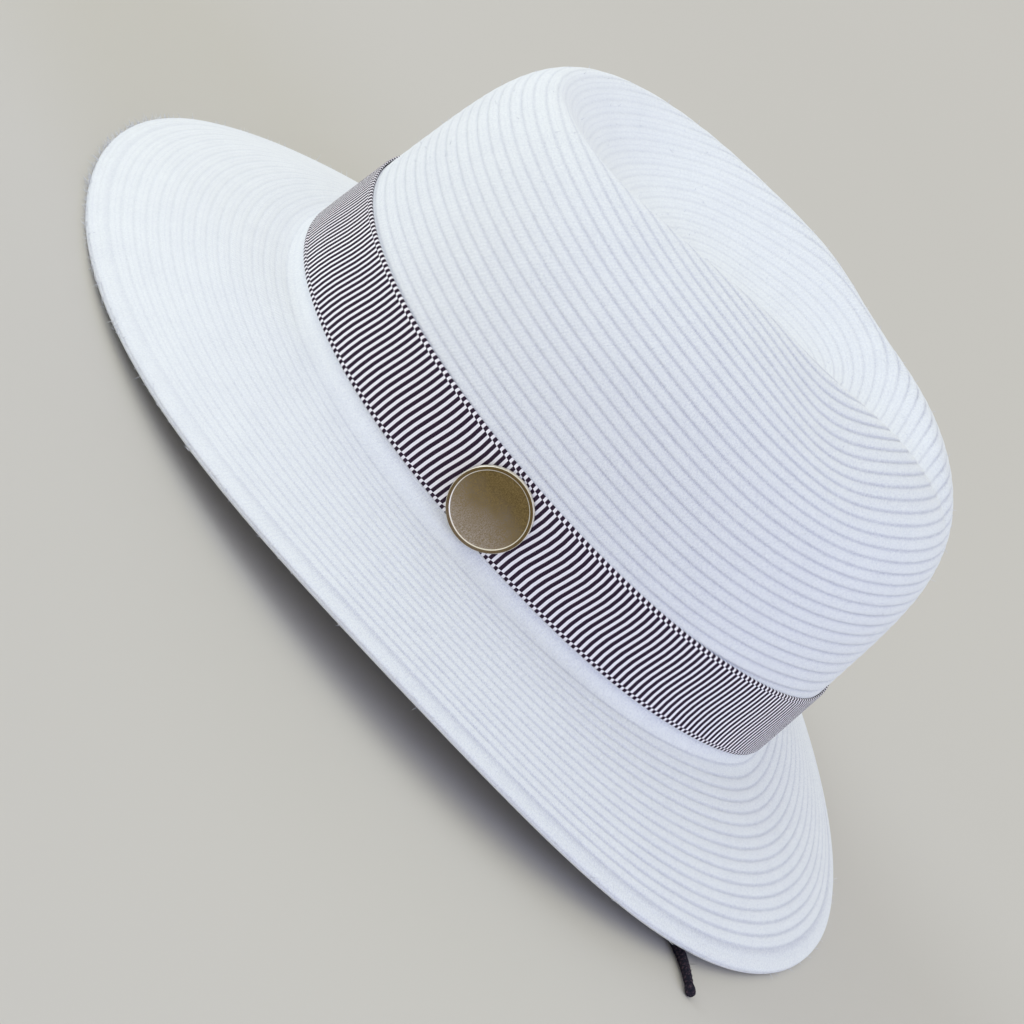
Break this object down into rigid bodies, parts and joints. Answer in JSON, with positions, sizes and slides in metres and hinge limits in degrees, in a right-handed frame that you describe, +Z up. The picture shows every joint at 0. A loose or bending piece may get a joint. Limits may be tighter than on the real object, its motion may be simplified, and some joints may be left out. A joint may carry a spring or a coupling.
{
  "type": "straw fedora hat",
  "caption": "Sewn-braid straw fedora with a teardrop crown, turned-down brim, striped grosgrain band, round brass badge, sweatband and drawstring end.",
  "frame": {"origin": "on the ground, under the middle of the hat", "axes": "+Z up, -Y towards the wearer's front, -X towards the wearer's right, where the badge is"},
  "size_m": [0.2844, 0.2986, 0.1233],
  "materials": {
    "straw_braid": "matt white sewn braid",
    "grosgrain_ribbon": "ribbed ribbon, dark and white cross stripes",
    "antique_brass": "satin antique brass",
    "sweatband_cloth": "plain woven tape",
    "drawstring_cord": "dark braided cord"
  },
  "bodies": {
    "root": {"crown": "straw_braid", "brim": "straw_braid", "ribbon_band": "grosgrain_ribbon", "badge": "antique_brass", "sweatband": "sweatband_cloth", "drawstring": "drawstring_cord", "drawstring_tip": "drawstring_cord"}
  },
  "joints": []
}
